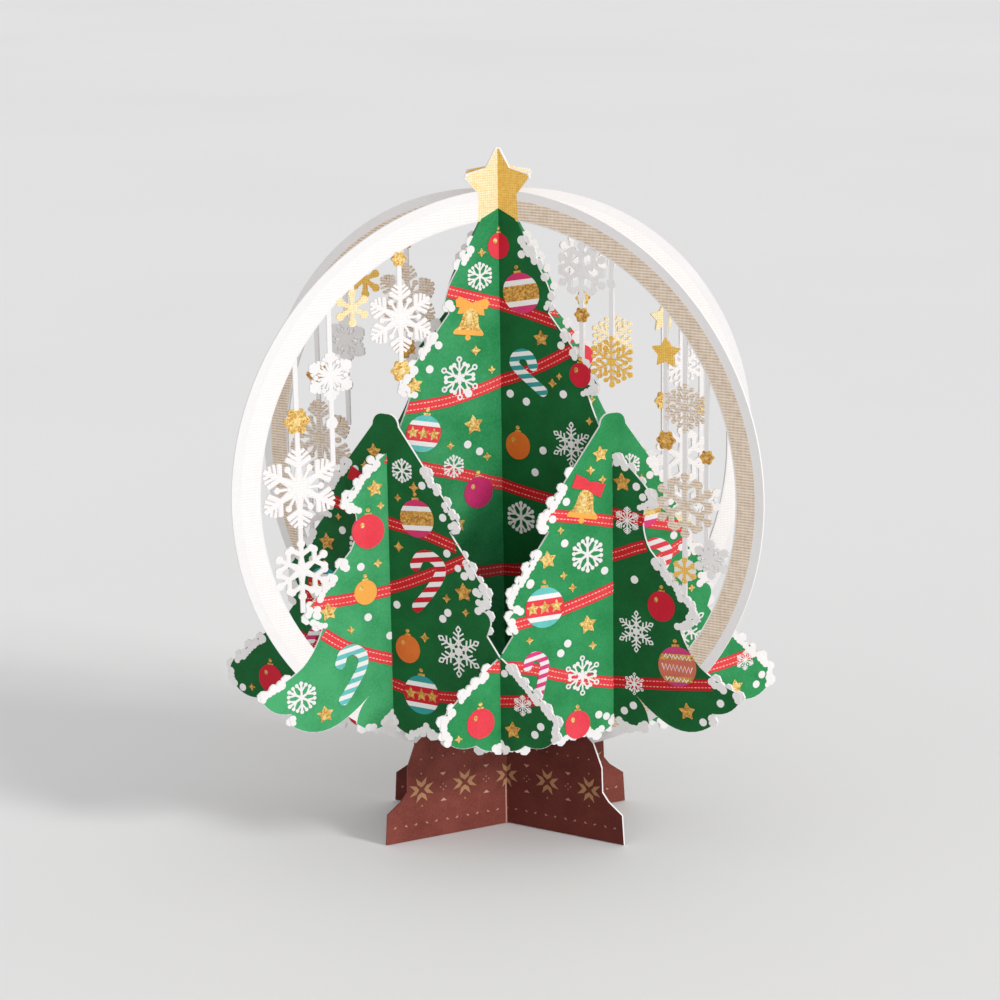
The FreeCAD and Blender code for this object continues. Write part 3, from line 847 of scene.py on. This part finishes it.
pink_ink = ink("pink", ((0.7, 0.03, 0.18), (0.86, 0.075, 0.27)),
               ((0.58, 0.02, 0.12), (0.72, 0.045, 0.19)), 0.5)
salmon_ink = ink("salmon", ((0.78, 0.17, 0.14), (0.92, 0.28, 0.22)),
                 ((0.56, 0.12, 0.075), (0.72, 0.2, 0.13)), 0.5)

ROUND_BALLS = (
    (0.0, 155.2, 3.2, red_ball), (23.2, 124.1, 3.0, red_ball), (5.0, 103.9, 3.5, orange_ball),
    (-7.0, 91.8, 4.0, magenta_ball), (-37.7, 85.5, 4.3, red_ball), (-39.0, 69.6, 3.1, amber_ball),
    (45.9, 66.7, 3.8, red_ball),
)
SMALL_BALLS = (
    (-10.6, 34.6, 3.6, red_ball), (5.1, 54.2, 3.6, orange_ball), (-37.8, 39.4, 3.8, red_ball),
)
GOLD_STRIPES = ((-1, -0.62, pink_ink), (-0.62, -0.36, snow_ink), (-0.36, 0.4, gold_glitter),
                (0.4, 0.66, snow_ink), (0.66, 1, pink_ink))
TEAL_STRIPES = ((-1, -0.66, teal_ink), (-0.66, -0.42, snow_ink), (-0.42, 0.42, ribbon_red),
                (0.42, 0.66, snow_ink), (0.66, 1, teal_ink))
ZIGZAG_STRIPES = ((-1, -0.78, magenta_ball), (-0.78, -0.5, gold_glitter), (-0.5, 0.34, salmon_ink),
                  (0.34, 0.62, gold_glitter), (0.62, 1, magenta_ball))
ROUND_BAUBLES = (
    (6.5, 143.6, 5.2, GOLD_STRIPES, 0.2), (-22.0, 109.1, 4.8, TEAL_STRIPES, -0.22),
    (50.4, 51.4, 5.3, ZIGZAG_STRIPES, 0.1),
)
SMALL_BAUBLES = (
    (8.7, 89.2, 4.9, GOLD_STRIPES, 0.08), (8.9, 42.4, 5.2, TEAL_STRIPES, 0.0),
    (-19.6, 67.3, 5.3, TEAL_STRIPES, 0.0),
)


CAP_PROUD, BALL_PROUD, GLINT_PROUD = 0.15, 0.17, 0.2
# The zigzags of the large bauble: each one's height and reach, as shares of its radius.
ZIGZAGS = ((-0.08, 0.15), (0.48, 0.09), (-0.64, 0.08))


def zigzag(x, y, radius, middle, reach):
    """A thin white zigzag across a bauble."""
    wide = int(9 * math.sqrt(1 - middle * middle))
    run = []
    for i in range(-wide, wide + 1):
        run.append(Vector((x, y)) + Vector((i * radius * 0.1, radius * (middle + reach * (-1) ** i))))
    return strip(run, -0.16, 0.16)


def ball_prints(balls, baubles):
    prints = []
    for x, y, radius, finish in balls:
        glint = round_spot(x - radius * 0.38, y + radius * 0.42, 0.55, 10, 1.3)
        prints += [(part, CAP_PROUD, gold_glitter) for part in cap(x, y, radius, 0.0)]
        prints.append((round_spot(x, y, radius, 28, 1.05), BALL_PROUD, finish))
        prints.append((glint, GLINT_PROUD, gold_glitter))
    for x, y, radius, stripes, turn in baubles:
        prints += [(part, CAP_PROUD, gold_glitter) for part in cap(x, y, radius, turn)]
        for low, high, finish in stripes:
            prints.append((slice_of(x, y, radius, low, high, turn), BALL_PROUD, finish))
        if stripes is TEAL_STRIPES:
            for aside in (-0.62, 0.0, 0.62):
                at = Vector((math.cos(turn), math.sin(turn))) * aside * radius
                prints.append((star(x + at.x, y + at.y, radius * 0.34), GLINT_PROUD, gold_glitter))
        if stripes is ZIGZAG_STRIPES:
            prints += [(zigzag(x, y, radius, *place), GLINT_PROUD, snow_ink) for place in ZIGZAGS]
    return prints


press_all("baubles", ball_prints(ROUND_BALLS, ROUND_BAUBLES), ball_prints(SMALL_BALLS, SMALL_BAUBLES))


# Bells and bows
# A gold foil bell hangs under a bow near the top of each tree: an orange bow on the big one, and a red
# bow on the small ones. The bell has a rolled rim and a round clapper.

# The second colours are this glitter's twin with painted shade, for the plates that face away from the lamp.
bright_glitter = glitter("bright_glitter", ((0.85, 0.5, 0.12), (1.0, 0.88, 0.46)),
                         ((0.66, 0.32, 0.06), (0.98, 0.7, 0.26)))
BELL_SIDE = ((0.22, 0.96), (0.42, 0.84), (0.54, 0.52), (0.6, 0.1), (0.72, -0.3), (0.98, -0.56),
             (1.0, -0.74))
RIM_SIDE = ((-1.04, -0.86), (-1.1, -0.72), (-0.98, -0.54))
SHINE = ((-0.24, 0.6), (-0.1, 0.72), (0.1, 0.6), (0.08, -0.1), (-0.2, -0.1))
BOW_KNOT = ((-0.2, 0.88), (-0.2, 1.26), (0.2, 1.26), (0.2, 0.88))
BOW_LOOP = ((0.05, 1.28), (0.95, 1.62), (1.22, 1.36), (1.1, 0.92), (0.3, 0.86), (0.05, 0.96))
BOW_TAIL = ((0.1, 1.0), (0.62, 0.5), (0.98, 0.48), (0.86, 0.92), (0.3, 1.12))
CLAPPER_PROUD, BODY_PROUD, SHINE_PROUD, RIM_PROUD = 0.16, 0.17, 0.19, 0.2
LOOP_PROUD, TAIL_PROUD, KNOT_PROUD, PLAIN_BOW_PROUD = 0.21, 0.23, 0.25, 0.24


def bell_prints(x, y, size, turn):
    """A bell with a bright middle, an orange rim and a clapper."""
    shapes = (
        (round_spot(0.0, -1.02, 0.2, 10), CLAPPER_PROUD, amber_ball),
        (mirrored(BELL_SIDE), BODY_PROUD, gold_glitter), (SHINE, SHINE_PROUD, bright_glitter),
        (mirrored(RIM_SIDE), RIM_PROUD, amber_ball),
    )
    return [(placed(shape, x, y, turn, size), proud, finish) for shape, proud, finish in shapes]


def bow_prints(x, y, size, turn):
    """An orange bow on a bell's crown: two loops, two tails and the knot."""
    shapes = []
    for side in (1, -1):
        shapes.append(([(side * a, b) for a, b in BOW_LOOP], LOOP_PROUD))
        shapes.append(([(side * a, b) for a, b in BOW_TAIL], TAIL_PROUD))
    shapes.append((BOW_KNOT, KNOT_PROUD))
    return [(placed(shape, x, y, turn, size), proud, amber_ball) for shape, proud in shapes]


def plain_bow_prints(x, y, size, turn):
    """Two stiff loops of red ribbon side by side, notched where they meet."""
    loop = ((0.0, 0.22), (0.28, 0.34), (1.0, 0.4), (1.0, -0.42), (0.3, -0.32), (0.0, -0.2))
    loops = [placed([(side * a, b) for a, b in loop], x, y, turn, size) for side in (1, -1)]
    return [(shape, PLAIN_BOW_PROUD, ribbon_red) for shape in loops]


# Each one's place, size and turn.
ROUND_BELL, SMALL_BELL = (-8.6, 136.5, 3.9, -0.16), (-8.2, 92.6, 4.0, -0.22)
SMALL_BOW = (-7.0, 97.4, 4.4, -0.42)
press_all("bell", bell_prints(*ROUND_BELL) + bow_prints(*ROUND_BELL),
          bell_prints(*SMALL_BELL) + plain_bow_prints(*SMALL_BOW))


# Candy canes
# Canes striped in white and teal, red or pink are printed on the trees: a straight stem that bends over
# into a hook, with nearly level stripes all the way along.

CANE_TILT, STRIPE_PITCH = 0.18, 0.86
CANE_PROUD, STRIPE_PROUD = 0.16, 0.19


def cut_between(corners, way, low, high):
    """What is left of a convex shape between two parallel lines across the way."""
    for limit, sign in ((low, 1), (high, -1)):
        kept = []
        for start, end in zip(corners, corners[1:] + corners[:1]):
            before, after = (sign * (corner.dot(way) - limit) for corner in (start, end))
            if before >= 0:
                kept.append(start)
            if before * after < 0:
                kept.append(start + (end - start) * (before / (before - after)))
        corners = kept
    return corners


def cane_prints(tip, hook_knots, width, finish):
    """A white cane with nearly level stripes of one colour."""
    run = smooth_run((*hook_knots, tip), 5)
    ends = [round_spot(end.x, end.y, width / 2, 16) for end in (run[0], run[-1])]
    whole = [strip(run, -width / 2, width / 2)] + ends
    prints = [(shape, CANE_PROUD, snow_ink) for shape in whole]
    left, right = beside(run, width / 2), beside(run, -width / 2)
    pieces = [[left[i], left[i + 1], right[i + 1], right[i]] for i in range(len(run) - 1)] + ends
    way = Vector((-math.sin(CANE_TILT), math.cos(CANE_TILT)))
    pitch = width * STRIPE_PITCH
    for piece in pieces:
        heights = [corner.dot(way) / pitch for corner in piece]
        for band in range(math.floor(min(heights)), math.ceil(max(heights))):
            stripe = cut_between(piece, way, band * pitch, (band + 0.5) * pitch)
            if len(stripe) > 2:
                prints.append((stripe, STRIPE_PROUD, finish))
    return prints


ROUND_CANES = (
    ((12.4, 118.8), ((9.7, 125.2), (8.6, 127.4), (6.4, 128.0), (4.6, 126.8), (4.9, 124.4)), 2.7, teal_ink),
    ((-45.8, 41.8), ((-46.5, 51.6), (-45.6, 54.0), (-43.0, 55.0), (-40.6, 53.4), (-40.3, 50.6),
                     (-42.4, 46.6)), 2.8, teal_ink),
)
SMALL_CANES = (
    ((8.2, 65.9), ((7.9, 76.8), (9.4, 79.2), (12.2, 79.8), (15.0, 78.0), (15.1, 75.2), (12.0, 70.4)), 3.0,
     ribbon_red),
    ((-22.4, 40.6), ((-24.6, 52.4), (-23.8, 54.3), (-21.8, 54.8), (-20.0, 53.2), (-20.0, 50.6)), 2.5,
     pink_ink),
)
press_all("canes", [part for cane in ROUND_CANES for part in cane_prints(*cane)],
          [part for cane in SMALL_CANES for part in cane_prints(*cane)])


# Gold stars and sparkles
# Small five-pointed stars and four-pointed sparkles of gold glitter foil are scattered over the green.

ROUND_STARS = (
    (-24.1, 121.8, 2.4), (-8.0, 109.8, 2.8), (12.1, 132.5, 2.3), (-35.7, 96.5, 2.4), (-49.2, 65.9, 2.6),
    (-51.0, 38.8, 2.5), (34.9, 97.7, 2.7), (53.2, 39.8, 2.5), (-13.0, 84.0, 2.4),
)
SMALL_STARS = (
    (-3.6, 105.2, 2.3), (-18.6, 79.6, 2.6), (-7.5, 61.0, 2.7), (22.0, 71.6, 2.7), (35.7, 37.2, 2.5),
)
ROUND_SPARKLES = (
    (-7.1, 129.0, 1.7), (-2.7, 123.6, 1.3), (-5.0, 153.9, 1.4), (17.2, 123.2, 1.1), (15.2, 121.2, 1.5),
    (25.7, 112.5, 1.3), (-4.4, 101.0, 1.4), (-14.6, 105.0, 1.3), (-34.2, 91.8, 1.3), (-35.4, 76.8, 1.5),
    (-43.3, 60.2, 1.3),
)
SMALL_SPARKLES = (
    (-6.4, 101.3, 1.5), (-3.0, 98.5, 1.4), (-14.9, 86.8, 1.2), (-14.2, 74.9, 1.3), (-11.7, 71.4, 1.4),
    (-23.9, 59.2, 1.3), (-6.1, 55.2, 1.4), (8.0, 97.2, 1.7), (3.2, 94.0, 1.2), (3.1, 81.1, 1.7),
    (22.5, 66.4, 1.3), (17.0, 69.3, 1.4), (10.2, 58.0, 1.6), (-44.0, 36.2, 1.3),
)


GOLD_PROUD = 0.17


def rosette(x, y, reaches):
    """A closed outline round a point, with a reach for each of its evenly spread directions."""
    turns = [math.tau * i / len(reaches) for i in range(len(reaches))]
    return [Vector((x + r * math.cos(t), y + r * math.sin(t))) for r, t in zip(reaches, turns)]


def gold_prints(stars, sparkles):
    shapes = [star(x, y, radius * 0.94, 0.56, 0.1) for x, y, radius in stars]
    shapes += [rosette(x, y, [size * 0.86, size * 0.42] * 4) for x, y, size in sparkles]
    return [(shape, GOLD_PROUD, gold_glitter) for shape in shapes]


press_all("gold_stars", gold_prints(ROUND_STARS, ROUND_SPARKLES), gold_prints(SMALL_STARS, SMALL_SPARKLES))


# Hanging snowflakes and charms
# White snowflakes, and a few faced in gold foil, hang on thin strips of the same card from the hoop.
# The foil on them has fine side branches and knobs; gold flowers and a star hang between them.

# Places and radii are shares of the hoop's inner radius, from its centre.
INNER = 66.2
FACE_PROUD, CHARM_PROUD, EYE_PROUD = 0.04, 0.08, 0.11
HANGING_FLAKES = (
    (-0.415, 0.657, 0.139, "feather", "foil", 1.0), (-0.609, 0.715, 0.074, "club", "gold", 1.0),
    (-0.704, 0.465, 0.1, "petal", "white", 1.0), (-0.845, 0.05, 0.162, "feather", "foil", 1.0),
    (-0.845, -0.272, 0.118, "lobe", "white", 1.0), (0.356, 0.826, 0.11, "lobe", "white", 1.0),
    (0.79, 0.346, 0.094, "spray", "foil", 1.05), (0.79, -0.03, 0.126, "lobe", "foil", 1.0),
    (0.9, -0.228, 0.08, "petal", "white", 1.0), (0.483, 0.492, 0.098, "spray", "gold", 1.05),
    (0.79, -0.284, 0.054, "club", "gold", 1.0),
)
HANGING_FLOWERS = (
    (-0.415, 0.884, 0.03), (-0.415, 0.455, 0.042), (-0.845, 0.308, 0.052), (0.356, 0.66, 0.03),
    (0.71, 0.213, 0.038), (0.88, 0.166, 0.028),
)


def flower(x, y, radius, count=40):
    """A six-petalled flower of foil."""
    waves = [math.cos(6 * math.tau * i / count) for i in range(count)]
    return rosette(x, y, [radius * (0.9 + 0.12 * wave) for wave in waves])


def in_hoop(x, y, radius):
    return x * INNER, HOOP_CENTRE + y * INNER, radius * INNER


for plate in ROUND_PLATES:
    # Foil and gold faces take each plate's copy: on the plate that faces the lamp, the one with painted
    # glare.
    faces = {"white": snow_ink, "foil": FOIL_OF[plate], "gold": GOLD_OF[plate]}
    prints = []
    for x, y, radius, kind, face, stout in HANGING_FLAKES:
        parts = snowflake(*in_hoop(x, y, radius), kind, stout)
        prints += [(part, FACE_PROUD, faces[face]) for part in parts]
    for place in HANGING_FLOWERS:
        x, y, radius = in_hoop(*place)
        prints.append((flower(x, y, radius), CHARM_PROUD, gold_glitter))
        prints.append((round_spot(x, y, radius * 0.3, 12), EYE_PROUD, bright_glitter))
    prints.append((star(*in_hoop(0.71, 0.548, 0.06), 0.55), CHARM_PROUD, GOLD_OF[plate]))
    press("hangings_" + plate, plate, prints)


# Table, light and camera
# A pale table, a soft lamp from the right, and the camera a little above, as the card was photographed.

table_finish, root = start_finish("pale_table")
wire(table_finish, {
    "Base Color": noise(root, 3.0).tint((0.74, 0.75, 0.74), (0.8, 0.81, 0.8)), "Roughness": 0.8,
})
bpy.ops.mesh.primitive_plane_add(size=30.0, location=(0, 0, -0.0002))
table = bpy.context.object
table.name = "table"
table.data.materials.append(table_finish)

world = bpy.data.worlds.new("studio")
bpy.context.scene.world = world
world.use_nodes = True
world.node_tree.nodes["Background"].inputs["Color"].default_value = (1.0, 0.975, 0.992, 1.0)
world.node_tree.nodes["Background"].inputs["Strength"].default_value = 0.74

lamp = bpy.data.lights.new("key", "SUN")
lamp.energy = 1.6
lamp.angle = math.radians(12)
key = bpy.data.objects.new("key", lamp)
key.rotation_mode = "QUATERNION"
key.rotation_quaternion = Vector((0.86, -0.5, 0.55)).to_track_quat("Z", "Y")
bpy.context.collection.objects.link(key)

# The camera stands 0.7 m in front and 0.28 m up, looks down by 15 degrees, and rolls by under one.
pitch, roll, heading = -0.2664, -0.0155, -0.04463323
forward = Vector((math.sin(heading) * math.cos(pitch), math.cos(heading) * math.cos(pitch), math.sin(pitch)))
right = Vector((math.cos(heading), -math.sin(heading), 0))
up = right.cross(forward)
rolled_right = right * math.cos(roll) + up * math.sin(roll)
rolled_up = up * math.cos(roll) - right * math.sin(roll)
lens = bpy.data.cameras.new("camera")
lens.sensor_width = 36.0
lens.lens = 101.5
camera = bpy.data.objects.new("camera", lens)
standpoint = Vector((0.0306, -0.7008, 0.2802))
axes = (rolled_right, rolled_up, -forward, standpoint)
for column, axis in enumerate(axes):
    for line in range(3):
        camera.matrix_world[line][column] = axis[line]
bpy.context.collection.objects.link(camera)
bpy.context.scene.camera = camera
bpy.context.scene.view_settings.view_transform = "Standard"
